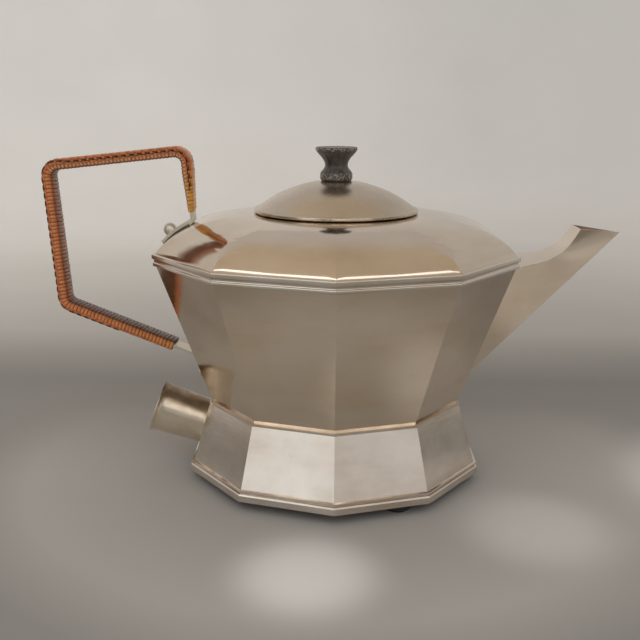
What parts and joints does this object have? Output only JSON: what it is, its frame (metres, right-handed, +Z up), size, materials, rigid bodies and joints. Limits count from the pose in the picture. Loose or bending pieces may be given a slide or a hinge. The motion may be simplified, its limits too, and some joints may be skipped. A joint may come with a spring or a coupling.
{
  "type": "electric tea kettle",
  "caption": "Ten-sided metal tea kettle on a flared plinth, with a V-section spout, cane-wrapped side handle, lift-off domed lid and a round inlet for an appliance lead.",
  "frame": {"origin": "on the vessel's axis, in the plane its feet rest on; this is within 2 mm of the bounding box's bottom centre", "axes": "+Z up, +X from the axis to the spout, handle and inlet on -X"},
  "size_m": [0.2961, 0.19, 0.1706],
  "materials": {
    "plated_body": "polished plate, lightly tarnished",
    "plated_plinth": "polished plate with worn scratches",
    "plated_trim": "polished plate",
    "plated_inner": "dull plate",
    "base_metal": "plain pressed sheet",
    "knob_wood": "turned, black, semi-gloss",
    "cane": "woven cane, lacquered",
    "gasket_rubber": "matte",
    "foot_rubber": "matte",
    "steel_fasteners": "bright",
    "porcelain": "unglazed",
    "pin_brass": "bright",
    "mica": "silvery sheet",
    "element_metal": "heat-darkened",
    "lead_copper": "bare wire"
  },
  "bodies": {
    "kettle": {"body_shell": "plated_body", "vessel_floor": "plated_inner", "shoulder_cover": "plated_body", "ledge_moulding": "plated_trim", "lid_seat_ring": "plated_inner", "spout_shell": "plated_body", "handle_strap": "plated_trim", "handle_cane": "cane", "foot_gasket": "gasket_rubber", "handle_dome_nuts": "plated_trim", "handle_bolts": "steel_fasteners", "plinth_shell": "plated_plinth", "plinth_rim": "plated_trim", "base_plate": "base_metal", "base_screws": "steel_fasteners", "feet": "foot_rubber", "foot_screws": "steel_fasteners", "inlet_shroud": "plated_body", "inlet_insulator": "porcelain", "contact_pins": "pin_brass", "pin_nuts": "pin_brass", "mica_discs": "mica", "heating_element": "element_metal", "clamp_plate": "base_metal", "clamp_stud": "steel_fasteners", "clamp_nut": "steel_fasteners", "terminal_posts": "pin_brass", "inner_leads": "lead_copper"},
    "lid": {"lid_dome": "plated_body", "lid_flange": "plated_inner", "lid_knob": "knob_wood", "knob_stud": "steel_fasteners", "knob_washer": "steel_fasteners", "knob_nut": "steel_fasteners"}
  },
  "joints": [
    {"name": "lid_lift", "type": "slide", "parent": "kettle", "child": "lid", "axis": [0, 0, 1], "range_m": [0, 0.06]}
  ]
}
